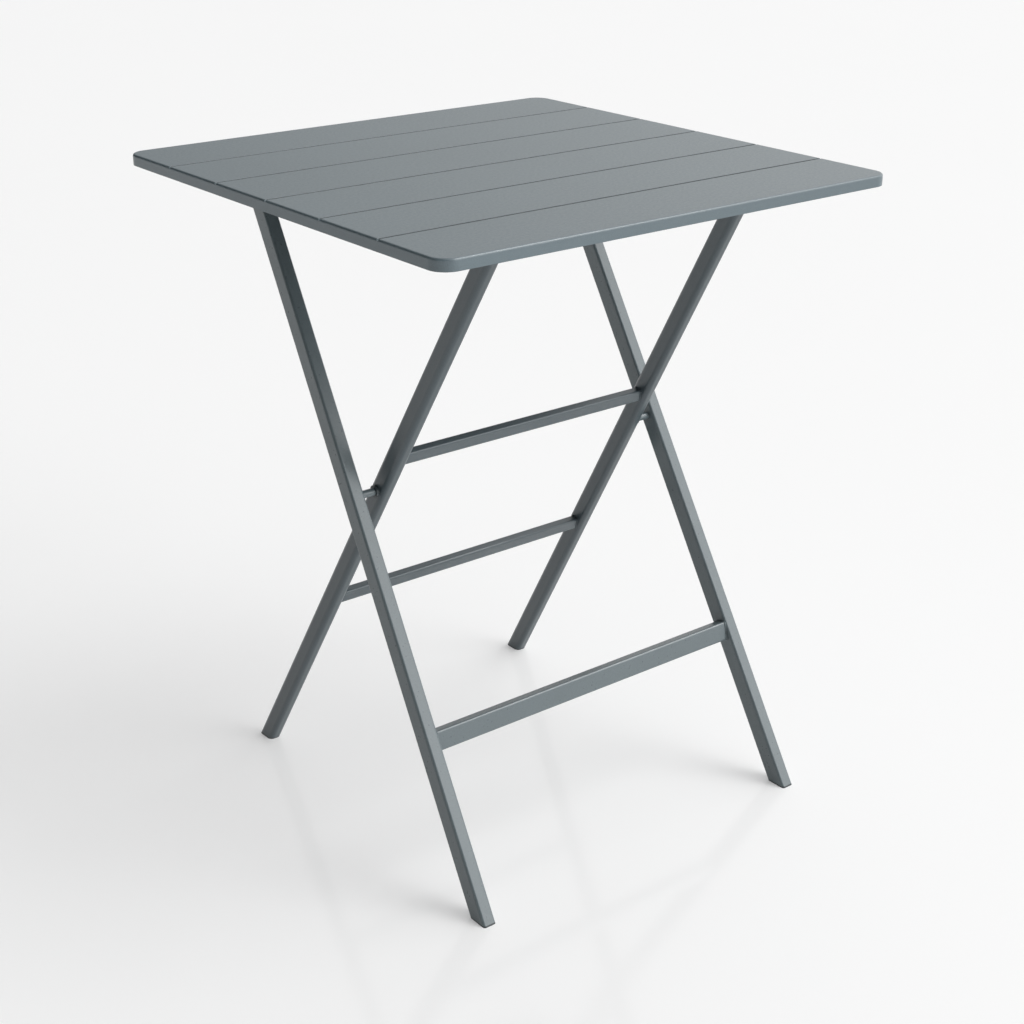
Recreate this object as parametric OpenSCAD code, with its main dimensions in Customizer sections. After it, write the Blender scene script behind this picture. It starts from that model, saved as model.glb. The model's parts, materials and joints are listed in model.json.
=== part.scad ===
// Folding bistro table: a square tray top on two crossed leg frames.
// +X runs along the six strips of the top, -Y is the side of the outer frame's feet, +Z is up.
// The origin is on the floor, under the middle of the top.

/* [Table top] */
// Side of the square top
top_size = 600; // [560:5:640]
// Height of the top surface over the floor
table_height = 750; // [735:1:765]
// Depth of the turned-down rim
rim_depth = 12.5; // [10:0.5:16]
// Thickness of the top sheet
sheet_thickness = 2.5; // [2.2:0.1:3]
// Thickness of the rim wall
rim_thickness = 2; // [1.5:0.1:3]
// Radius of the four corners, seen from above
corner_radius = 20; // [12:1:40]
// Radius of the upper edge of the rim
edge_radius = 2.5; // [1:0.1:3]
// Number of strips that the grooves make
strip_count = 6; // [4:1:8]
// Width of a groove at the surface
groove_width = 3.6; // [2:0.1:5]
// Depth of a groove
groove_depth = 1.8; // [0.8:0.1:2]

/* [Legs] */
// Width of a leg tube, along X
leg_width = 16.5; // [15:0.5:18]
// Depth of a leg tube, across the frame
leg_depth = 23; // [20:0.5:26]
// Wall of the leg tubes
leg_wall = 1.5; // [1.2:0.1:2]
// Corner radius of the outer frame's leg tubes
outer_corner = 3; // [2.5:0.5:5]
// Corner radius of the inner frame's leg tubes
inner_corner = 6; // [3:0.5:7]
// Lean of each frame from upright, in degrees
lean = 30.5; // [29:0.1:32]
// Height of the crossing pivots
pivot_height = 414; // [405:1:425]
// Distance of the crossing pivots from the middle of the top, along Y
pivot_offset = -22.5; // [-30:0.5:-15]
// Half the outer width of the outer frame at the floor
outer_foot_half = 238.5; // [236:0.5:242]
// Half the outer width of the outer frame at the rim
outer_rim_half = 222; // [220:0.5:226]
// Half the outer width of the inner frame at the floor
inner_foot_half = 210.5; // [206:0.5:212]
// Half the outer width of the inner frame at the rim
inner_rim_half = 175.5; // [172:0.5:177]
// Thickness of the foot caps
foot_thickness = 1.5; // [1:0.5:5]

/* [Stretchers] */
// Height of the front stretcher's middle over the floor
front_stretcher_z = 172.5; // [150:0.5:200]
// Face height of the front stretcher
front_stretcher_h = 23; // [18:0.5:26]
// Depth of the front stretcher
front_stretcher_d = 15; // [10:0.5:17]
// Height of the upper stretcher's middle over the floor
upper_stretcher_z = 457; // [440:0.5:475]
// Height of the lower stretcher's middle over the floor
lower_stretcher_z = 245.5; // [225:0.5:265]
// Face height of the two inner stretchers
inner_stretcher_h = 15; // [12:0.5:18]
// Depth of the two inner stretchers
inner_stretcher_d = 11; // [9:0.5:15]
// Wall of the stretcher tubes
stretcher_wall = 1.5; // [1:0.1:1.8]
// Outer corner radius of the stretcher tubes
stretcher_corner = 2.5; // [2:0.1:3]

/* [Joints] */
// Height of the top's hinge and of the catch rod
hinge_height = 715; // [711:0.5:717]
// Diameter of the pivot studs and hinge bolts
pin_diameter = 8; // [6:0.5:9]
// Outer diameter of the bushes that run on them
bush_diameter = 12; // [11:0.5:13]
// Gap on the radius between a pin and its bush
running_gap = 0.06; // [0.02:0.01:0.1]
// Diameter of the catch rod
rod_diameter = 10; // [8:0.5:11]
// Outer diameter of the sleeves on the catch rod
sleeve_diameter = 14; // [13:0.5:15]
// Gap around a sleeve in its notch
notch_gap = 0.4; // [0.3:0.1:0.8]
// Swing of the inner frame from open to folded, in degrees
fold_angle = 55; // [50:1:55]
// Swing of the top from level to folded, in degrees
top_angle = 120; // [100:1:120]

/* [Rails] */
// Thickness of the rail sheet
rail_thickness = 3; // [2.5:0.5:4]
// Distance of the outer face of a rail from the middle
rail_face_x = 203; // [202.5:0.1:203.2]
// Width of a rail's flange
rail_flange = 23; // [18:1:24]
// Height of a rail's web between its ears
rail_web = 20; // [14:1:24]
// Front end of the rails
rail_front_y = -245; // [-255:1:-235]
// Back end of the rails
rail_back_y = 190; // [180:1:220]

/* [Hidden] */
$fn = 48;

frame_colour = "slategray";
plastic_colour = "darkslategray";
steel_colour = "silver";

// Heights of the rim's lower edge and of the sheet's underside
rim_z = table_height - rim_depth;
sheet_z = table_height - sheet_thickness;

// How much narrower a groove is at its floor, on each side
groove_taper = 0.4;

// Splay of the legs, in degrees, and the middle of each leg at the pivot
leg_run = rim_z / cos(lean);
outer_taper = outer_foot_half - outer_rim_half;
inner_taper = inner_foot_half - inner_rim_half;
outer_splay = atan(outer_taper / leg_run);
inner_splay = atan(inner_taper / leg_run);
function outer_face_x(z) = outer_foot_half - outer_taper * z / rim_z;
function inner_face_x(z) = inner_foot_half - inner_taper * z / rim_z;
outer_pivot_x = outer_face_x(pivot_height) - leg_width / 2;
inner_pivot_x = inner_face_x(pivot_height) - leg_width / 2;

// Distance from a crossing pivot to the hinge or the rod, and where those two lie
arm = (hinge_height - pivot_height) / cos(lean);
hinge_y = pivot_offset + arm * sin(lean);
rod_y = pivot_offset - arm * sin(lean);
hinge_face_x = outer_face_x(hinge_height);
rod_face_x = inner_face_x(hinge_height);

// Where the tubes end past the hinge, and what closes them
end_margin = 12;
tube_end = arm + end_margin;
plug_cap = 3;
plug_insert = 6;
foot_insert = 14;
insert_gap = 0.1;
below_floor = 60;

// The notch follows the way the rod leaves it as the table folds
notch_radius = sleeve_diameter / 2 + notch_gap;
swing_ratio = top_angle / fold_angle;
notch_slant = atan(1 / (2 * (swing_ratio - 0.5) * tan(lean)));
notch_step = 0.3;
notch_flare = 1.2;

// Small hardware
bush_flange = 1.5;
bush_flange_d = 17;
pivot_flange_d = 14;
washer_d = 17;
washer_t = 1.3;
side_gap = 0.3;
shoulder_d = pin_diameter + 0.8;
bolt_head_d = 14;
bolt_head_h = 4.5;
socket_d = 5.8;
socket_depth = 2.2;
nut_flat_d = 15;
nut_height = 6.5;
nut_collar = 1.5;
nut_collar_d = 12;
thread_beyond_nut = 1;
rod_cap = 1.2;
rod_end_gap = 0.8;
face_overlap = 1;
rail_stud_d = 5;
rail_hole_d = 5.5;
rail_stud_len = 11;
rail_stud_x = 189;
rail_stud_ys = [-232, -95, 40, 176];
rail_nut_d = 9.2;
rail_nut_h = 4;
rail_washer_d = 10;
rail_washer_t = 1;
ear_radius = 15;
ear_corner = 5;
ear_front = 12;
ear_back = 20;
ear_drop = 8.5;
brace_width = 24;
brace_height = 8;
brace_wall = 1.5;
brace_ys = [-120, 60];

// Shapes that repeat

module rounded_rect(w, d, r) {
    square([w - 2 * r, d], center = true);
    square([w, d - 2 * r], center = true);
    for (x = [-1, 1], y = [-1, 1])
        translate([x * (w / 2 - r), y * (d / 2 - r)]) circle(r = r);
}

// A cylinder along X from x0 to x1 at the given place
module x_cylinder(x0, x1, d, y, z) {
    translate([x0, y, z]) rotate([0, 90, 0]) cylinder(h = x1 - x0, d = d);
}

// Draws its children on the right, or mirrored to the left
module on_side(side) {
    mirror([side < 0 ? 1 : 0, 0, 0]) children();
}

// Places a right leg's own frame: its Z runs up the leg and its origin is the pivot
module outer_leg_frame() {
    translate([outer_pivot_x, pivot_offset, pivot_height])
        rotate([-lean, 0, 0]) rotate([0, -outer_splay, 0]) children();
}

module inner_leg_frame() {
    translate([inner_pivot_x, pivot_offset, pivot_height])
        rotate([lean, 0, 0]) rotate([0, -inner_splay, 0]) children();
}

// A length of leg section; inset shrinks it on every side
module leg_bar(corner, z0, z1, inset = 0) {
    translate([0, 0, z0]) linear_extrude(height = z1 - z0)
        rounded_rect(leg_width - 2 * inset, leg_depth - 2 * inset, corner - inset);
}

leg_start = -pivot_height / cos(lean) - below_floor;

module whole_outer_leg(inset = 0) {
    outer_leg_frame() leg_bar(outer_corner, leg_start, tube_end + plug_cap, inset);
}

module whole_inner_leg(inset = 0) {
    inner_leg_frame() leg_bar(inner_corner, leg_start, tube_end + plug_cap, inset);
}

// Everything between two heights
module slab(z0, z1) {
    translate([-top_size / 2, -top_size, z0]) cube([top_size, 2 * top_size, z1 - z0]);
}

// Everything on the right, below the given height
module below(z) {
    translate([0, -top_size, z - top_size]) cube([top_size, 2 * top_size, top_size]);
}

module leg_tube(corner) {
    difference() {
        leg_bar(corner, leg_start, tube_end);
        leg_bar(corner, leg_start - 1, tube_end + 1, leg_wall);
    }
}

module leg_plug(corner) {
    leg_bar(corner, tube_end, tube_end + plug_cap);
    leg_bar(corner, tube_end - plug_insert, tube_end, leg_wall + insert_gap);
}

// A stretcher tube along X, tipped about its own middle
module stretcher_tube(length, h, d, y, z, tip) {
    translate([0, y, z]) rotate([tip, 0, 0]) rotate([0, 90, 0])
        linear_extrude(height = length, center = true) difference() {
            rounded_rect(h, d, stretcher_corner);
            rounded_rect(
                h - 2 * stretcher_wall, d - 2 * stretcher_wall,
                stretcher_corner - stretcher_wall
            );
        }
}

// Table top

// Cross-section of the top, with its upper edges rounded
module slab_profile(width) {
    translate([-width / 2, 0]) square([width, rim_depth - edge_radius]);
    translate([-width / 2 + edge_radius, 0]) square([width - 2 * edge_radius, rim_depth]);
    for (x = [-1, 1])
        translate([x * (width / 2 - edge_radius), rim_depth - edge_radius]) circle(r = edge_radius);
}

module rounded_corner() {
    rotate_extrude($fn = 96) {
        square([corner_radius, rim_depth - edge_radius]);
        square([corner_radius - edge_radius, rim_depth]);
        translate([corner_radius - edge_radius, rim_depth - edge_radius]) circle(r = edge_radius);
    }
}

module top_blank() {
    straight = top_size - 2 * corner_radius;
    translate([0, straight / 2, 0]) rotate([90, 0, 0])
        linear_extrude(height = straight) slab_profile(top_size);
    translate([-straight / 2, 0, 0]) rotate([90, 0, 90])
        linear_extrude(height = straight) slab_profile(top_size);
    for (x = [-1, 1], y = [-1, 1])
        translate([x * straight / 2, y * straight / 2, 0]) rounded_corner();
}

module groove() {
    floor_width = groove_width - 2 * groove_taper;
    rotate([90, 0, 90]) linear_extrude(height = top_size + 2, center = true)
        polygon([
            [-groove_width / 2, 0.01], [groove_width / 2, 0.01],
            [floor_width / 2, -groove_depth], [-floor_width / 2, -groove_depth]
        ]);
}

module top_panel() {
    inner = top_size - 2 * rim_thickness;
    pitch = top_size / strip_count;
    color(frame_colour) difference() {
        translate([0, 0, rim_z]) top_blank();
        translate([0, 0, rim_z - 1]) linear_extrude(height = rim_depth - sheet_thickness + 1)
            rounded_rect(inner, inner, corner_radius - rim_thickness, $fn = 96);
        for (i = [1 : strip_count - 1])
            translate([0, (i - strip_count / 2) * pitch, table_height]) groove();
    }
}

// Rails under the top: drawn on the right, in the YZ plane

module notch() {
    deep = 3 * ear_radius;
    half = notch_radius + notch_step;
    translate([rod_y, hinge_height]) {
        circle(r = notch_radius);
        rotate(notch_slant) polygon([
            [-half, 0], [half, 0], [half + notch_flare, -deep], [-half - notch_flare, -deep]
        ]);
    }
}

module rail_web_outline() {
    notch_low = hinge_height - ear_drop;
    difference() {
        union() {
            translate([rail_front_y, sheet_z - rail_web])
                square([rail_back_y - rail_front_y, rail_web]);
            translate([rod_y + (ear_back - ear_front) / 2, (notch_low + sheet_z) / 2])
                rounded_rect(ear_front + ear_back, sheet_z - notch_low, ear_corner);
            translate([hinge_y, hinge_height]) circle(r = ear_radius);
            translate([hinge_y - ear_radius, hinge_height])
                square([2 * ear_radius, sheet_z - hinge_height]);
        }
        notch();
        translate([hinge_y, hinge_height]) circle(d = bush_diameter);
    }
}

module rail(side) {
    color(frame_colour) on_side(side) {
        translate([rail_face_x - rail_thickness, 0, 0]) rotate([90, 0, 90])
            linear_extrude(height = rail_thickness) rail_web_outline();
        difference() {
            translate([rail_face_x - rail_flange, rail_front_y, sheet_z - rail_thickness])
                cube([rail_flange, rail_back_y - rail_front_y, rail_thickness]);
            for (y = rail_stud_ys)
                translate([rail_stud_x, y, sheet_z - rail_thickness - 1])
                    cylinder(h = rail_thickness + 2, d = rail_hole_d);
        }
    }
}

module rail_left() { rail(-1); }
module rail_right() { rail(1); }

module cross_brace(y) {
    length = 2 * (rail_face_x - rail_flange);
    color(frame_colour) translate([0, y, sheet_z]) rotate([90, 0, 90])
        linear_extrude(height = length, center = true) difference() {
            translate([-brace_width / 2, -brace_height]) square([brace_width, brace_height]);
            translate([-brace_width / 2 + brace_wall, -brace_height - 1])
                square([brace_width - 2 * brace_wall, brace_height - brace_wall + 1]);
        }
}

module cross_brace_front() { cross_brace(brace_ys[0]); }
module cross_brace_rear() { cross_brace(brace_ys[1]); }

// Places its children at each rail fixing, on the underside of the sheet
module at_rail_studs() {
    for (x = [-1, 1], y = rail_stud_ys)
        translate([x * rail_stud_x, y, sheet_z]) children();
}

module rail_weld_studs() {
    color(steel_colour) at_rail_studs() translate([0, 0, -rail_stud_len])
        cylinder(h = rail_stud_len, d = rail_stud_d);
}

module ring(outer_d, inner_d, height) {
    difference() {
        cylinder(h = height, d = outer_d);
        translate([0, 0, -1]) cylinder(h = height + 2, d = inner_d);
    }
}

module rail_washers() {
    color(steel_colour) at_rail_studs() translate([0, 0, -rail_thickness - rail_washer_t])
        ring(rail_washer_d, rail_stud_d, rail_washer_t);
}

module rail_nuts() {
    color(steel_colour) at_rail_studs()
        translate([0, 0, -rail_thickness - rail_washer_t - rail_nut_h]) difference() {
            cylinder(h = rail_nut_h, d = rail_nut_d, $fn = 6);
            translate([0, 0, -1]) cylinder(h = rail_nut_h + 2, d = rail_stud_d);
        }
}

module hinge_bush(side) {
    inner_x = rail_face_x - rail_thickness;
    color(plastic_colour) on_side(side) difference() {
        union() {
            x_cylinder(inner_x - bush_flange, inner_x, bush_flange_d, hinge_y, hinge_height);
            x_cylinder(inner_x - bush_flange, rail_face_x, bush_diameter, hinge_y, hinge_height);
        }
        x_cylinder(0, top_size, pin_diameter + 2 * running_gap, hinge_y, hinge_height);
    }
}

module hinge_bush_left() { hinge_bush(-1); }
module hinge_bush_right() { hinge_bush(1); }

// Outer frame

module outer_leg(side) {
    color(frame_colour) on_side(side) difference() {
        outer_leg_frame() leg_tube(outer_corner);
        below(foot_thickness);
        x_cylinder(0, top_size, pin_diameter, pivot_offset, pivot_height);
        x_cylinder(0, top_size, pin_diameter, hinge_y, hinge_height);
    }
}

module outer_leg_left() { outer_leg(-1); }
module outer_leg_right() { outer_leg(1); }

module front_stretcher() {
    y = pivot_offset - (pivot_height - front_stretcher_z) * tan(lean);
    color(frame_colour) difference() {
        stretcher_tube(
            2 * outer_face_x(front_stretcher_z) - leg_width,
            front_stretcher_h, front_stretcher_d, y, front_stretcher_z, -lean / 2
        );
        for (side = [-1, 1]) on_side(side) whole_outer_leg();
    }
}

module outer_foot(side) {
    color(plastic_colour) on_side(side) {
        intersection() {
            whole_outer_leg();
            slab(0, foot_thickness);
        }
        intersection() {
            whole_outer_leg(leg_wall + insert_gap);
            slab(foot_thickness, foot_thickness + foot_insert);
        }
    }
}

module outer_foot_left() { outer_foot(-1); }
module outer_foot_right() { outer_foot(1); }

module outer_top_plug(side) {
    color(plastic_colour) on_side(side) outer_leg_frame() leg_plug(outer_corner);
}

module outer_top_plug_left() { outer_top_plug(-1); }
module outer_top_plug_right() { outer_top_plug(1); }

// Distance from the middle to the washer that rides on the pivot bush
pivot_washer_x = inner_pivot_x + leg_width / 2 + bush_flange + side_gap;

module pivot_stud(side) {
    far_x = inner_pivot_x - leg_width / 2 + leg_wall + face_overlap;
    color(frame_colour) on_side(side) {
        x_cylinder(
            far_x, outer_pivot_x + leg_width / 2 - insert_gap,
            pin_diameter, pivot_offset, pivot_height
        );
        difference() {
            x_cylinder(
                pivot_washer_x + washer_t, outer_pivot_x - leg_width / 2 + face_overlap,
                shoulder_d, pivot_offset, pivot_height
            );
            whole_outer_leg();
        }
    }
}

module pivot_stud_left() { pivot_stud(-1); }
module pivot_stud_right() { pivot_stud(1); }

module pivot_washers() {
    color(plastic_colour) for (side = [-1, 1]) on_side(side) difference() {
        x_cylinder(pivot_washer_x, pivot_washer_x + washer_t, pivot_flange_d, pivot_offset, pivot_height);
        x_cylinder(0, top_size, pin_diameter, pivot_offset, pivot_height);
    }
}

// Where the parts of a hinge bolt lie, from the outer leg inwards
hinge_head_x = hinge_face_x + washer_t;
hinge_nut_x = rail_face_x - rail_thickness - bush_flange - side_gap - washer_t;
bolt_end_x = hinge_nut_x - nut_height - nut_collar - thread_beyond_nut;

module bolt_head() {
    dome = bolt_head_d * bolt_head_d / (8 * bolt_head_h) + bolt_head_h / 2;
    difference() {
        intersection() {
            translate([0, 0, bolt_head_h - dome]) sphere(r = dome);
            cylinder(h = bolt_head_h, d = bolt_head_d);
        }
        translate([0, 0, bolt_head_h - socket_depth])
            cylinder(h = socket_depth + 1, d = socket_d, $fn = 6);
    }
}

module hinge_bolt(side) {
    color(steel_colour) on_side(side) {
        x_cylinder(bolt_end_x, hinge_head_x + face_overlap, pin_diameter, hinge_y, hinge_height);
        translate([hinge_head_x, hinge_y, hinge_height]) rotate([0, 90, 0]) bolt_head();
    }
}

module hinge_bolt_left() { hinge_bolt(-1); }
module hinge_bolt_right() { hinge_bolt(1); }

// Steel washers under each bolt head and each nut
module hinge_washers() {
    color(steel_colour) for (side = [-1, 1]) on_side(side) difference() {
        union() {
            x_cylinder(hinge_face_x - face_overlap, hinge_head_x, washer_d, hinge_y, hinge_height);
            x_cylinder(hinge_nut_x, hinge_nut_x + washer_t, washer_d, hinge_y, hinge_height);
        }
        whole_outer_leg();
        x_cylinder(0, top_size, pin_diameter, hinge_y, hinge_height);
    }
}

// Plastic spacers between each outer leg and its rail
module hinge_spacers() {
    color(plastic_colour) for (side = [-1, 1]) on_side(side) difference() {
        x_cylinder(
            rail_face_x + side_gap, hinge_face_x - leg_width + face_overlap,
            bush_flange_d, hinge_y, hinge_height
        );
        whole_outer_leg();
        x_cylinder(0, top_size, pin_diameter, hinge_y, hinge_height);
    }
}

module hinge_nuts() {
    color(steel_colour) for (side = [-1, 1]) on_side(side) difference() {
        union() {
            translate([hinge_nut_x - nut_height, hinge_y, hinge_height]) rotate([0, 90, 0])
                cylinder(h = nut_height, d = nut_flat_d, $fn = 6);
            x_cylinder(
                hinge_nut_x - nut_height - nut_collar, hinge_nut_x - nut_height,
                nut_collar_d, hinge_y, hinge_height
            );
        }
        x_cylinder(0, top_size, pin_diameter, hinge_y, hinge_height);
    }
}

// Inner frame

module inner_leg(side) {
    color(frame_colour) on_side(side) difference() {
        inner_leg_frame() leg_tube(inner_corner);
        below(foot_thickness);
        x_cylinder(inner_pivot_x, top_size, bush_diameter, pivot_offset, pivot_height);
        x_cylinder(0, top_size, rod_diameter, rod_y, hinge_height);
    }
}

module inner_leg_left() { inner_leg(-1); }
module inner_leg_right() { inner_leg(1); }

module inner_stretcher(z) {
    y = pivot_offset + (pivot_height - z) * tan(lean);
    color(frame_colour) difference() {
        stretcher_tube(
            2 * inner_face_x(z) - leg_width,
            inner_stretcher_h, inner_stretcher_d, y, z, lean / 2
        );
        for (side = [-1, 1]) on_side(side) whole_inner_leg();
    }
}

module upper_stretcher() { inner_stretcher(upper_stretcher_z); }
module lower_stretcher() { inner_stretcher(lower_stretcher_z); }

module inner_foot(side) {
    color(plastic_colour) on_side(side) {
        intersection() {
            whole_inner_leg();
            slab(0, foot_thickness);
        }
        intersection() {
            whole_inner_leg(leg_wall + insert_gap);
            slab(foot_thickness, foot_thickness + foot_insert);
        }
    }
}

module inner_foot_left() { inner_foot(-1); }
module inner_foot_right() { inner_foot(1); }

module inner_top_plug(side) {
    color(plastic_colour) on_side(side) inner_leg_frame() leg_plug(inner_corner);
}

module inner_top_plug_left() { inner_top_plug(-1); }
module inner_top_plug_right() { inner_top_plug(1); }

// A flanged bush in the outer wall of each inner leg; the pivot stud turns in it
module pivot_bush(side) {
    face_x = inner_pivot_x + leg_width / 2;
    color(plastic_colour) on_side(side) difference() {
        union() {
            x_cylinder(
                face_x - leg_width + leg_wall + face_overlap / 2, face_x + bush_flange,
                bush_diameter, pivot_offset, pivot_height
            );
            difference() {
                x_cylinder(
                    face_x - face_overlap, face_x + bush_flange,
                    pivot_flange_d, pivot_offset, pivot_height
                );
                whole_inner_leg();
            }
        }
        x_cylinder(0, top_size, pin_diameter + 2 * running_gap, pivot_offset, pivot_height);
    }
}

module pivot_bush_left() { pivot_bush(-1); }
module pivot_bush_right() { pivot_bush(1); }

// The rod crosses both inner legs and catches in the rails' notches
rod_half = hinge_face_x - leg_width - rod_end_gap;

module catch_rod() {
    color(steel_colour)
        x_cylinder(-rod_half + rod_cap, rod_half - rod_cap, rod_diameter, rod_y, hinge_height);
}

module catch_sleeve(side) {
    color(plastic_colour) on_side(side) difference() {
        x_cylinder(rod_face_x - face_overlap, rod_half - rod_cap, sleeve_diameter, rod_y, hinge_height);
        x_cylinder(0, top_size, rod_diameter, rod_y, hinge_height);
        whole_inner_leg();
    }
}

module catch_sleeve_left() { catch_sleeve(-1); }
module catch_sleeve_right() { catch_sleeve(1); }

module rod_end_caps() {
    color(steel_colour) for (side = [-1, 1]) on_side(side)
        x_cylinder(rod_half - rod_cap, rod_half, sleeve_diameter, rod_y, hinge_height);
}

top_panel();
rail_left();
rail_right();
cross_brace_front();
cross_brace_rear();
rail_weld_studs();
rail_washers();
rail_nuts();
hinge_bush_left();
hinge_bush_right();
outer_leg_left();
outer_leg_right();
front_stretcher();
outer_foot_left();
outer_foot_right();
outer_top_plug_left();
outer_top_plug_right();
pivot_stud_left();
pivot_stud_right();
pivot_washers();
hinge_bolt_left();
hinge_bolt_right();
hinge_washers();
hinge_spacers();
hinge_nuts();
inner_leg_left();
inner_leg_right();
upper_stretcher();
lower_stretcher();
inner_foot_left();
inner_foot_right();
inner_top_plug_left();
inner_top_plug_right();
pivot_bush_left();
pivot_bush_right();
catch_rod();
catch_sleeve_left();
catch_sleeve_right();
rod_end_caps();
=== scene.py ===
import json
import math
import random

import bmesh
import bpy
from mathutils import Matrix, Vector


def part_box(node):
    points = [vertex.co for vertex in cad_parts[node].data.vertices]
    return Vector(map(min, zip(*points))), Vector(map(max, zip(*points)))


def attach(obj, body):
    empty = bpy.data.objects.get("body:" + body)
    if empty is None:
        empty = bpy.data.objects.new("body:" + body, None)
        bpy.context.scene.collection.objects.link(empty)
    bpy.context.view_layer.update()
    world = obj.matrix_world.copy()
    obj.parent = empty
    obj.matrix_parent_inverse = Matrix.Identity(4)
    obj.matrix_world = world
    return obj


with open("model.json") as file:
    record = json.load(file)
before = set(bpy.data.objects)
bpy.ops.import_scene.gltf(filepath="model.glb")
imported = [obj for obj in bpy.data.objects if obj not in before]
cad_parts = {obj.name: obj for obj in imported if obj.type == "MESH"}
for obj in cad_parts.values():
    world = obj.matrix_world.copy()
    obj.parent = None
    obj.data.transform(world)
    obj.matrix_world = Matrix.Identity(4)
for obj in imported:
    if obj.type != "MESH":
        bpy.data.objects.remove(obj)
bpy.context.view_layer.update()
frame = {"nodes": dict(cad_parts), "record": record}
scene = bpy.context.scene
nodes = frame["nodes"]
random.seed(7)


# ---------------------------------------------------------------- camera

CAMERA_AZIMUTH = -38.37
CAMERA_ELEVATION = 22.85
CAMERA_ROLL = 0.19
CAMERA_DISTANCE = 2.1134
CAMERA_LENS = 62.71
SENSOR_WIDTH = 36.0
CLIP_START = 0.05
CLIP_END = 200.0

# The point the camera looks at: a height, then shifts to the camera's right and up
TARGET_HEIGHT = 0.370
TARGET_RIGHT = 0.01468
TARGET_UP = -0.03507


def make_camera():
    az = math.radians(CAMERA_AZIMUTH)
    el = math.radians(CAMERA_ELEVATION)
    roll = math.radians(CAMERA_ROLL)
    back = Vector((math.sin(az) * math.cos(el), -math.cos(az) * math.cos(el), math.sin(el)))
    right = Vector((math.cos(az), math.sin(az), 0.0))
    up = back.cross(right)
    target = Vector((0.0, 0.0, TARGET_HEIGHT)) + right * TARGET_RIGHT + up * TARGET_UP
    rolled_right = right * math.cos(roll) + up * math.sin(roll)
    rolled_up = up * math.cos(roll) - right * math.sin(roll)
    data = bpy.data.cameras.new("camera")
    data.sensor_width = SENSOR_WIDTH
    data.lens = CAMERA_LENS
    data.clip_start = CLIP_START
    data.clip_end = CLIP_END
    cam = bpy.data.objects.new("camera", data)
    scene.collection.objects.link(cam)
    rotation = Matrix((rolled_right, rolled_up, back)).transposed().to_4x4()
    cam.matrix_world = Matrix.Translation(target + back * CAMERA_DISTANCE) @ rotation
    scene.camera = cam


# ---------------------------------------------------------------- node trees

# Edge mask: samples, and the agreement of the rounded and true normals where it starts and is full
EDGE_SAMPLES = 6
EDGE_START = 0.995
EDGE_FULL = 0.86

# Painted shade in the top's grooves: how far under the top's surface it starts and is full
PAINTED_SHADE_DEPTH_START = 0.00002
PAINTED_SHADE_DEPTH_FULL = 0.0006
# How far inside the rim's faces it starts and is full
RIM_START = 0.0026
RIM_FULL = 0.0036
# How far inside the outer corners, along both sides together, it starts and is full
CORNER_START = 0.024
CORNER_FULL = 0.028

# Underside mask: the Z of the normal where it starts and is full
DOWN_START = -0.5
DOWN_FULL = -0.9


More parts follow.
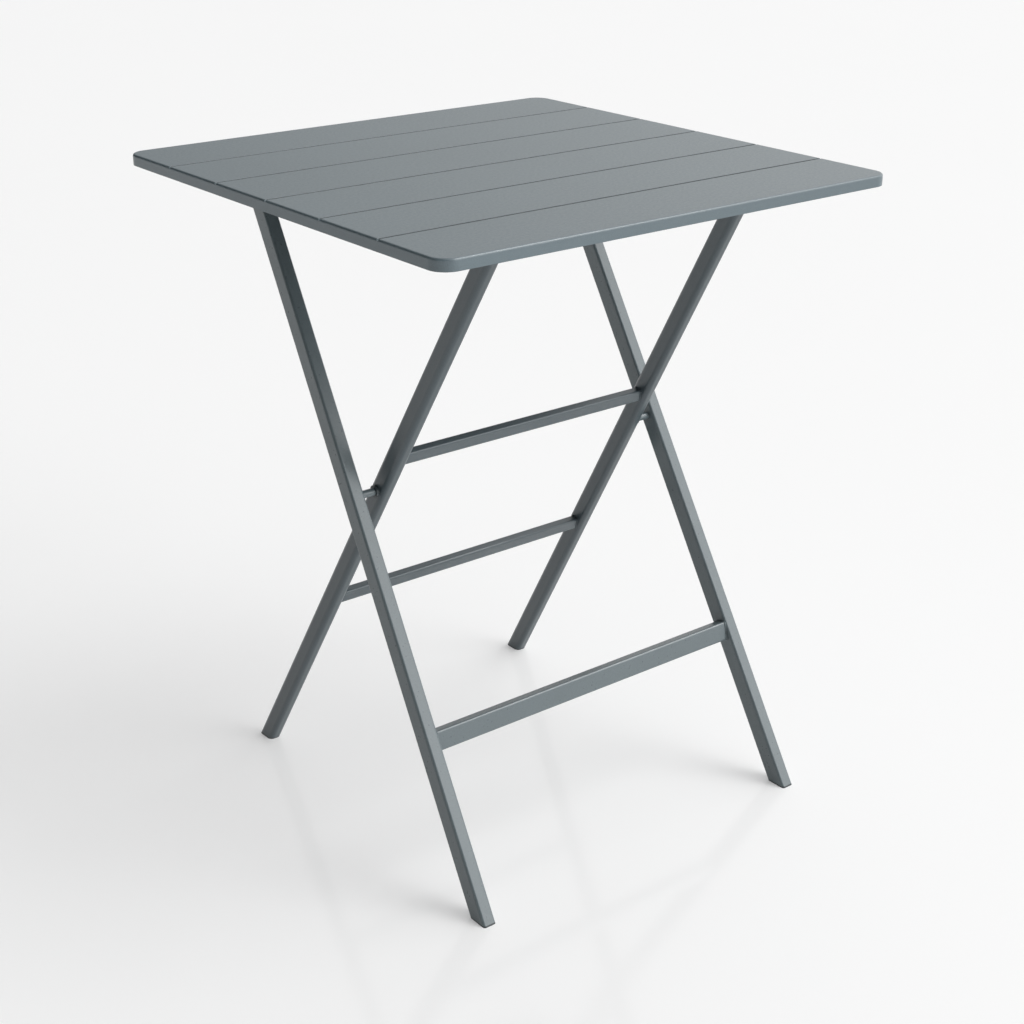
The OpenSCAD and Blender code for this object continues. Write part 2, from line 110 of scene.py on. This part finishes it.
class Graph:
    """A material's node tree, with short ways to add the nodes used here."""

    def __init__(self, name):
        self.material = bpy.data.materials.new(name)
        self.material.use_nodes = True
        self.tree = self.material.node_tree
        self.tree.nodes.clear()
        self.output = self.tree.nodes.new("ShaderNodeOutputMaterial")
        self.shader = self.tree.nodes.new("ShaderNodeBsdfPrincipled")
        self.link(self.shader.outputs["BSDF"], self.output.inputs["Surface"])
        self.place = self.tree.nodes.new("ShaderNodeTexCoord").outputs["Object"]

    def link(self, a, b):
        self.tree.links.new(a, b)

    def noise(self, scale, detail, roughness=0.5):
        """Noise over the object's own coordinates, with so many repeats per metre."""
        n = self.tree.nodes.new("ShaderNodeTexNoise")
        n.inputs["Scale"].default_value = scale
        n.inputs["Detail"].default_value = detail
        n.inputs["Roughness"].default_value = roughness
        self.link(self.place, n.inputs["Vector"])
        return n.outputs["Fac"]

    def span(self, value, start, full, to_start=0.0, to_full=1.0):
        """The value carried from start..full to to_start..to_full, and held at both ends."""
        n = self.tree.nodes.new("ShaderNodeMapRange")
        n.inputs["From Min"].default_value = start
        n.inputs["From Max"].default_value = full
        n.inputs["To Min"].default_value = to_start
        n.inputs["To Max"].default_value = to_full
        self.link(value, n.inputs["Value"])
        return n.outputs["Result"]

    def maths(self, operation, a, b):
        n = self.tree.nodes.new("ShaderNodeMath")
        n.operation = operation
        for socket, v in zip(n.inputs, (a, b)):
            if isinstance(v, (int, float)):
                socket.default_value = v
            else:
                self.link(v, socket)
        return n.outputs["Value"]

    def mix(self, factor, a, b):
        """Colour a where the factor is 0 and colour b where it is 1."""
        n = self.tree.nodes.new("ShaderNodeMix")
        n.data_type = "RGBA"
        self.link(factor, n.inputs["Factor"])
        for socket, v in ((n.inputs["A"], a), (n.inputs["B"], b)):
            if isinstance(v, tuple):
                socket.default_value = (*v, 1.0)
            else:
                self.link(v, socket)
        return n.outputs["Result"]

    def edges(self, radius):
        """1 on edges within the radius, 0 on flat faces."""
        bevel = self.tree.nodes.new("ShaderNodeBevel")
        bevel.samples = EDGE_SAMPLES
        bevel.inputs["Radius"].default_value = radius
        geometry = self.tree.nodes.new("ShaderNodeNewGeometry")
        dot = self.tree.nodes.new("ShaderNodeVectorMath")
        dot.operation = "DOT_PRODUCT"
        self.link(bevel.outputs["Normal"], dot.inputs[0])
        self.link(geometry.outputs["Normal"], dot.inputs[1])
        return self.span(dot.outputs["Value"], EDGE_START, EDGE_FULL)

    def grooves(self):
        """1 in the top's grooves, where shade is painted: below its surface and inside its
        outline.
        """
        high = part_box("top_panel")[1]
        split = self.tree.nodes.new("ShaderNodeSeparateXYZ")
        self.link(self.place, split.inputs[0])
        deep = self.span(split.outputs["Z"], high.z - PAINTED_SHADE_DEPTH_START, high.z - PAINTED_SHADE_DEPTH_FULL)
        reach = []
        for axis, edge in (("X", high.x), ("Y", high.y)):
            reach.append(self.maths("ABSOLUTE", split.outputs[axis], 0.0))
            inside = self.span(reach[-1], edge - RIM_START, edge - RIM_FULL)
            deep = self.maths("MULTIPLY", deep, inside)
        both = self.maths("ADD", reach[0], reach[1])
        edge = high.x + high.y
        inside = self.span(both, edge - CORNER_START, edge - CORNER_FULL)
        return self.maths("MULTIPLY", deep, inside)

    def underside(self):
        """1 on faces that look down when the table stands, 0 elsewhere."""
        place = self.tree.nodes.new("ShaderNodeTexCoord")
        split = self.tree.nodes.new("ShaderNodeSeparateXYZ")
        self.link(place.outputs["Normal"], split.inputs[0])
        return self.span(split.outputs["Z"], DOWN_START, DOWN_FULL)

    def bump(self, height, strength, distance, before=None):
        n = self.tree.nodes.new("ShaderNodeBump")
        n.inputs["Strength"].default_value = strength
        n.inputs["Distance"].default_value = distance
        self.link(height, n.inputs["Height"])
        if before is not None:
            self.link(before, n.inputs["Normal"])
        return n.outputs["Normal"]


def shade(colour, factor):
    return tuple(min(1.0, c * factor) for c in colour)


# ---------------------------------------------------------------- materials

TOP_COLOUR = (0.107, 0.142, 0.159)
FRAME_COLOUR = (0.105, 0.132, 0.142)
# The inner frame's colour is the frame coat darkened: painted shade, as it stands under the top
INNER_PAINTED_SHADE_COLOUR = (0.060, 0.080, 0.090)
CAP_COLOUR = (0.030, 0.038, 0.042)
BUSH_COLOUR = (0.045, 0.058, 0.064)
ZINC_COLOUR = (0.62, 0.63, 0.64)
ZINC_STAIN = (0.50, 0.47, 0.38)

TOP_ROUGHNESS = 0.34
FRAME_ROUGHNESS = 0.31
INNER_ROUGHNESS = 0.33
CAP_ROUGHNESS = 0.5
BUSH_ROUGHNESS = 0.42

# Powder coat
COAT_SPECULAR = 0.62
COAT_GRAIN = 1300.0
COAT_GRAIN_STRENGTH = 0.5
COAT_GRAIN_DEPTH = 0.00008
COAT_PEEL = 420.0
COAT_PEEL_STRENGTH = 0.18
COAT_PEEL_DEPTH = 0.00016
COAT_SPECKLE = 900.0
COAT_CLOUDS = 7.0
COAT_GLOSS_PATCHES = 300.0
COAT_GLOSS_SPREAD = 0.04
COAT_EDGE_WIDTH = 0.0011
COAT_EDGE_PATCHES = 70.0
COAT_EDGE_PAINTED_SHADE = 0.55
GROOVE_PAINTED_SHADE = 0.30
UNDERSIDE_ROUGHER = 0.38

# Moulded plastic
PLASTIC_GRAIN = 1800.0
PLASTIC_GRAIN_STRENGTH = 0.35
PLASTIC_GRAIN_DEPTH = 0.00008
PLASTIC_CLOUDS = 25.0
PLASTIC_SCUFFS = 160.0
SCUFF_SHADE = 1.9

# Zinc plate
ZINC_PATCHES = 240.0
ZINC_SCRATCHES = 900.0
ZINC_SCRATCH_STRENGTH = 0.3
ZINC_SCRATCH_DEPTH = 0.00006
ZINC_STAINS = 40.0
ZINC_SMOOTHEST = 0.24
ZINC_ROUGHEST = 0.46


def powder_coat(name, colour, roughness, grooved=False):
    """Fine-texture powder coat: grainy bump, faint mottling, painted shade on sharp edges and,
    when grooved, painted shade in the grooves.
    """
    g = Graph(name)
    speckle = g.noise(COAT_SPECKLE, 2.0)
    clouds = g.span(g.noise(COAT_CLOUDS, 2.0), 0.35, 0.65)
    tint = g.mix(clouds, shade(colour, 0.98), shade(colour, 1.02))
    tint = g.mix(g.span(speckle, 0.50, 0.75, 0.0, 0.5), tint, shade(colour, 1.22))
    tint = g.mix(g.span(speckle, 0.50, 0.25, 0.0, 0.5), tint, shade(colour, 0.80))
    # Painted shade: sharp edges are darkened in patches, where shading draws dark lines along them
    edge_shade_patches = g.span(g.noise(COAT_EDGE_PATCHES, 3.0), 0.35, 0.65, 0.30, 0.50)
    edge = g.maths("MULTIPLY", g.edges(COAT_EDGE_WIDTH), edge_shade_patches)
    tint = g.mix(edge, tint, shade(colour, COAT_EDGE_PAINTED_SHADE))
    low = roughness - COAT_GLOSS_SPREAD
    high = roughness + COAT_GLOSS_SPREAD
    rough = g.span(g.noise(COAT_GLOSS_PATCHES, 3.0), 0.3, 0.7, low, high)
    if grooved:
        # Painted shade: the top's grooves are darkened, as shade falls in them
        tint = g.mix(g.grooves(), tint, shade(colour, GROOVE_PAINTED_SHADE))
        rough = g.maths("ADD", rough, g.maths("MULTIPLY", g.underside(), UNDERSIDE_ROUGHER))
    g.link(tint, g.shader.inputs["Base Color"])
    g.link(rough, g.shader.inputs["Roughness"])
    normal = g.bump(g.noise(COAT_PEEL, 2.0), COAT_PEEL_STRENGTH, COAT_PEEL_DEPTH)
    normal = g.bump(g.noise(COAT_GRAIN, 2.0), COAT_GRAIN_STRENGTH, COAT_GRAIN_DEPTH, normal)
    g.link(normal, g.shader.inputs["Normal"])
    g.shader.inputs["Specular IOR Level"].default_value = COAT_SPECULAR
    return g.material


def moulded_plastic(name, colour, roughness):
    """Moulded plastic: fine grain, faint clouds and pale scuffs."""
    g = Graph(name)
    scuffs = g.noise(PLASTIC_SCUFFS, 6.0, 0.65)
    clouds = g.span(g.noise(PLASTIC_CLOUDS, 3.0), 0.35, 0.65)
    tint = g.mix(clouds, shade(colour, 0.88), shade(colour, 1.12))
    tint = g.mix(g.span(scuffs, 0.60, 0.75, 0.0, 0.5), tint, shade(colour, SCUFF_SHADE))
    g.link(tint, g.shader.inputs["Base Color"])
    rough = g.span(scuffs, 0.3, 0.7, roughness - 0.08, roughness + 0.1)
    g.link(rough, g.shader.inputs["Roughness"])
    normal = g.bump(g.noise(PLASTIC_GRAIN, 2.0), PLASTIC_GRAIN_STRENGTH, PLASTIC_GRAIN_DEPTH)
    g.link(normal, g.shader.inputs["Normal"])
    return g.material


def zinc_plate(name, colour):
    """Bright zinc on steel: crystal patches, fine scratches and a few yellowish stains."""
    g = Graph(name)
    scratches = g.noise(ZINC_SCRATCHES, 6.0, 0.7)
    patches = g.span(g.noise(ZINC_PATCHES, 5.0, 0.6), 0.3, 0.7)
    tint = g.mix(patches, shade(colour, 0.82), shade(colour, 1.1))
    tint = g.mix(g.span(g.noise(ZINC_STAINS, 3.0), 0.6, 0.8, 0.0, 0.5), tint, ZINC_STAIN)
    g.link(tint, g.shader.inputs["Base Color"])
    rough = g.span(scratches, 0.3, 0.7, ZINC_SMOOTHEST, ZINC_ROUGHEST)
    g.link(rough, g.shader.inputs["Roughness"])
    normal = g.bump(scratches, ZINC_SCRATCH_STRENGTH, ZINC_SCRATCH_DEPTH)
    g.link(normal, g.shader.inputs["Normal"])
    g.shader.inputs["Metallic"].default_value = 1.0
    return g.material


MATERIALS = {
    "top_coat": powder_coat("top_coat", TOP_COLOUR, TOP_ROUGHNESS, grooved=True),
    "frame_coat": powder_coat("frame_coat", FRAME_COLOUR, FRAME_ROUGHNESS),
    "inner_coat_painted_shade": powder_coat("inner_coat_painted_shade", INNER_PAINTED_SHADE_COLOUR, INNER_ROUGHNESS),
    "cap_plastic": moulded_plastic("cap_plastic", CAP_COLOUR, CAP_ROUGHNESS),
    "bush_nylon": moulded_plastic("bush_nylon", BUSH_COLOUR, BUSH_ROUGHNESS),
    "zinc_steel": zinc_plate("zinc_steel", ZINC_COLOUR),
}


def dress(obj, material_name):
    obj.data.materials.clear()
    obj.data.materials.append(MATERIALS[material_name])


def dress_cad_nodes():
    """Each CAD node takes its slot's material, and the inner frame a darker copy of the frame
    coat, painted shade for its place under the top.
    """
    inner = frame["record"]["behaviour"]["bodies"]["inner_frame"]
    for part in frame["record"]["subparts"]:
        slot = part["material_slot"]
        if slot == "frame_coat" and part["node"] in inner:
            slot = "inner_coat_painted_shade"
        dress(nodes[part["node"]], slot)


# ---------------------------------------------------------------- weld beads

BEAD_RADIUS = 0.0012
BEAD_STEPS = 120
BEAD_SIDES = 10
RIPPLES = 30
RIPPLE_HEIGHT = 0.16
UNEVENNESS = 0.08

# How much of a tube's end is read for its outline, and the angle between the points kept
END_DEPTH = 0.004
POINT_ANGLE = 2.0
SHORTEST_STEP = 1e-9


def end_loop(node, side):
    """Points round the outer edge of a tube's cut end, in order, from its own mesh."""
    low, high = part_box(node)
    centre = (low + high) / 2
    points = [v.co.copy() for v in nodes[node].data.vertices]
    end = max(side * p.x for p in points)
    best = {}
    for p in points:
        if side * p.x <= end - END_DEPTH:
            continue
        dy = p.y - centre.y
        dz = p.z - centre.z
        reach = math.hypot(dy, dz)
        key = round(math.degrees(math.atan2(dz, dy)) / POINT_ANGLE)
        if key not in best or reach > best[key][0]:
            best[key] = (reach, p)
    return [best[k][1] for k in sorted(best)]


def even_loop(points, count):
    """The closed polyline through the points, cut into equal steps."""
    closed = points + [points[0]]
    lengths = [(b - a).length for a, b in zip(closed, closed[1:])]
    total = sum(lengths)
    result = []
    i = 0
    passed = 0.0
    for k in range(count):
        want = total * k / count
        while passed + lengths[i] < want:
            passed += lengths[i]
            i += 1
        share = (want - passed) / max(lengths[i], SHORTEST_STEP)
        result.append(closed[i].lerp(closed[i + 1], share))
    return result


def bead_rings(mesh, path):
    """Rings of points round the path, with an even ripple and a little unevenness."""
    rings = []
    phase = random.random() * math.tau
    for k, p in enumerate(path):
        ahead = (path[(k + 1) % BEAD_STEPS] - path[k - 1]).normalized()
        across = ahead.cross(Vector((1.0, 0.0, 0.0))).normalized()
        out = ahead.cross(across)
        ripple = 1.0 + RIPPLE_HEIGHT * math.sin(phase + k * math.tau * RIPPLES / BEAD_STEPS)
        ripple += UNEVENNESS * (random.random() - 0.5)
        ring = []
        for s in range(BEAD_SIDES):
            a = s * math.tau / BEAD_SIDES
            side = across * math.cos(a) + out * math.sin(a)
            ring.append(mesh.verts.new(p + side * BEAD_RADIUS * ripple))
        rings.append(ring)
    return rings


def bead(name, points, body):
    """A rippled weld bead along a closed line of points."""
    mesh = bmesh.new()
    rings = bead_rings(mesh, even_loop(points, BEAD_STEPS))
    for k in range(BEAD_STEPS):
        here = rings[k]
        there = rings[(k + 1) % BEAD_STEPS]
        for s in range(BEAD_SIDES):
            t = (s + 1) % BEAD_SIDES
            mesh.faces.new((here[s], here[t], there[t], there[s]))
    bmesh.ops.recalc_face_normals(mesh, faces=mesh.faces)
    data = bpy.data.meshes.new(name)
    mesh.to_mesh(data)
    mesh.free()
    for face in data.polygons:
        face.use_smooth = True
    obj = bpy.data.objects.new(name, data)
    scene.collection.objects.link(obj)
    # Beads on the inner frame take its darker coat, which is painted shade
    dress(obj, "frame_coat" if body == "outer_frame" else "inner_coat_painted_shade")
    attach(obj, body)


STRETCHERS = (
    ("front_stretcher", "outer_frame"),
    ("upper_stretcher", "inner_frame"),
    ("lower_stretcher", "inner_frame"),
)


def stretcher_welds():
    for node, body in STRETCHERS:
        for side, word in ((-1, "left"), (1, "right")):
            bead(f"{node}_weld_{word}", end_loop(node, side), body)


# ---------------------------------------------------------------- stage

FLOOR_REACH = 40.0
FLOOR_CELLS = 8
FLOOR_WHITE = (0.64, 0.64, 0.64)
FLOOR_CLOUDS = 0.8
FLOOR_CLOUD_SHADE = 1.01
FLOOR_ROUGHNESS = 0.9
FLOOR_GLOW = 0.33
FLOOR_GLOSS = 0.06
FLOOR_GLOSS_ROUGHNESS = 0.10

# What the camera sees beyond the floor
WALL_GREY = 0.90

# The studio is brightest towards one side and dark on the far side
BRIGHT_SIDE = (0.82, -0.22, 0.38)
BRIGHT_LEVEL = 1.60
DARK_LEVEL = 0.05
DARK_REACH = -0.05

WHITE = (1.0, 1.0, 1.0, 1.0)


def floor_material():
    """Matt pale floor that glows a little and has a weak, soft reflection."""
    g = Graph("floor")
    tint = g.mix(g.noise(FLOOR_CLOUDS, 2.0), FLOOR_WHITE, shade(FLOOR_WHITE, FLOOR_CLOUD_SHADE))
    g.link(tint, g.shader.inputs["Base Color"])
    g.shader.inputs["Roughness"].default_value = FLOOR_ROUGHNESS
    g.shader.inputs["Emission Color"].default_value = WHITE
    g.shader.inputs["Emission Strength"].default_value = FLOOR_GLOW
    g.shader.inputs["Specular IOR Level"].default_value = 0.0
    gloss = g.tree.nodes.new("ShaderNodeBsdfGlossy")
    gloss.inputs["Roughness"].default_value = FLOOR_GLOSS_ROUGHNESS
    both = g.tree.nodes.new("ShaderNodeMixShader")
    both.inputs["Fac"].default_value = FLOOR_GLOSS
    g.link(g.shader.outputs["BSDF"], both.inputs[1])
    g.link(gloss.outputs["BSDF"], both.inputs[2])
    g.link(both.outputs["Shader"], g.output.inputs["Surface"])
    return g.material


def make_floor():
    mesh = bmesh.new()
    bmesh.ops.create_grid(mesh, x_segments=FLOOR_CELLS, y_segments=FLOOR_CELLS, size=FLOOR_REACH)
    data = bpy.data.meshes.new("floor")
    mesh.to_mesh(data)
    mesh.free()
    data.materials.append(floor_material())
    floor = bpy.data.objects.new("floor", data)
    scene.collection.objects.link(floor)


def make_world():
    """Light that fades from the bright side to the dark side, behind a plain pale wall."""
    world = bpy.data.worlds.new("studio")
    world.use_nodes = True
    scene.world = world
    tree = world.node_tree
    tree.nodes.clear()
    place = tree.nodes.new("ShaderNodeTexCoord")
    dot = tree.nodes.new("ShaderNodeVectorMath")
    dot.operation = "DOT_PRODUCT"
    dot.inputs[1].default_value = Vector(BRIGHT_SIDE).normalized()
    span = tree.nodes.new("ShaderNodeMapRange")
    span.inputs["From Min"].default_value = DARK_REACH
    span.inputs["From Max"].default_value = 1.0
    span.inputs["To Min"].default_value = DARK_LEVEL
    span.inputs["To Max"].default_value = BRIGHT_LEVEL
    light = tree.nodes.new("ShaderNodeBackground")
    light.inputs["Color"].default_value = WHITE
    wall = tree.nodes.new("ShaderNodeBackground")
    wall.inputs["Color"].default_value = (WALL_GREY, WALL_GREY, WALL_GREY, 1.0)
    ray = tree.nodes.new("ShaderNodeLightPath")
    seen = tree.nodes.new("ShaderNodeMixShader")
    output = tree.nodes.new("ShaderNodeOutputWorld")
    tree.links.new(place.outputs["Generated"], dot.inputs[0])
    tree.links.new(dot.outputs["Value"], span.inputs["Value"])
    tree.links.new(span.outputs["Result"], light.inputs["Strength"])
    tree.links.new(ray.outputs["Is Camera Ray"], seen.inputs[0])
    tree.links.new(light.outputs["Background"], seen.inputs[1])
    tree.links.new(wall.outputs["Background"], seen.inputs[2])
    tree.links.new(seen.outputs["Shader"], output.inputs["Surface"])


def make_light(name, towards, energy, degrees, on_matt=True, on_gloss=True):
    """A distant soft light that comes from the given direction."""
    data = bpy.data.lights.new(name, "SUN")
    data.energy = energy
    data.angle = math.radians(degrees)
    lamp = bpy.data.objects.new(name, data)
    scene.collection.objects.link(lamp)
    lamp.rotation_mode = "QUATERNION"
    lamp.rotation_quaternion = Vector(towards).normalized().to_track_quat("Z", "Y")
    lamp.visible_diffuse = on_matt
    lamp.visible_glossy = on_gloss


def make_lights():
    make_light("key", (0.50, -0.35, 0.80), 0.60, 30.0)
    make_light("front", (0.45, -0.80, 0.40), 0.90, 40.0)
    make_light("fill", (0.30, -0.90, 0.32), 0.60, 50.0, on_gloss=False)
    make_light("glint", (0.572, -0.388, 0.722), 0.9, 14.0, on_matt=False)


scene.view_settings.view_transform = "Standard"
make_camera()
dress_cad_nodes()
stretcher_welds()
make_floor()
make_world()
make_lights()
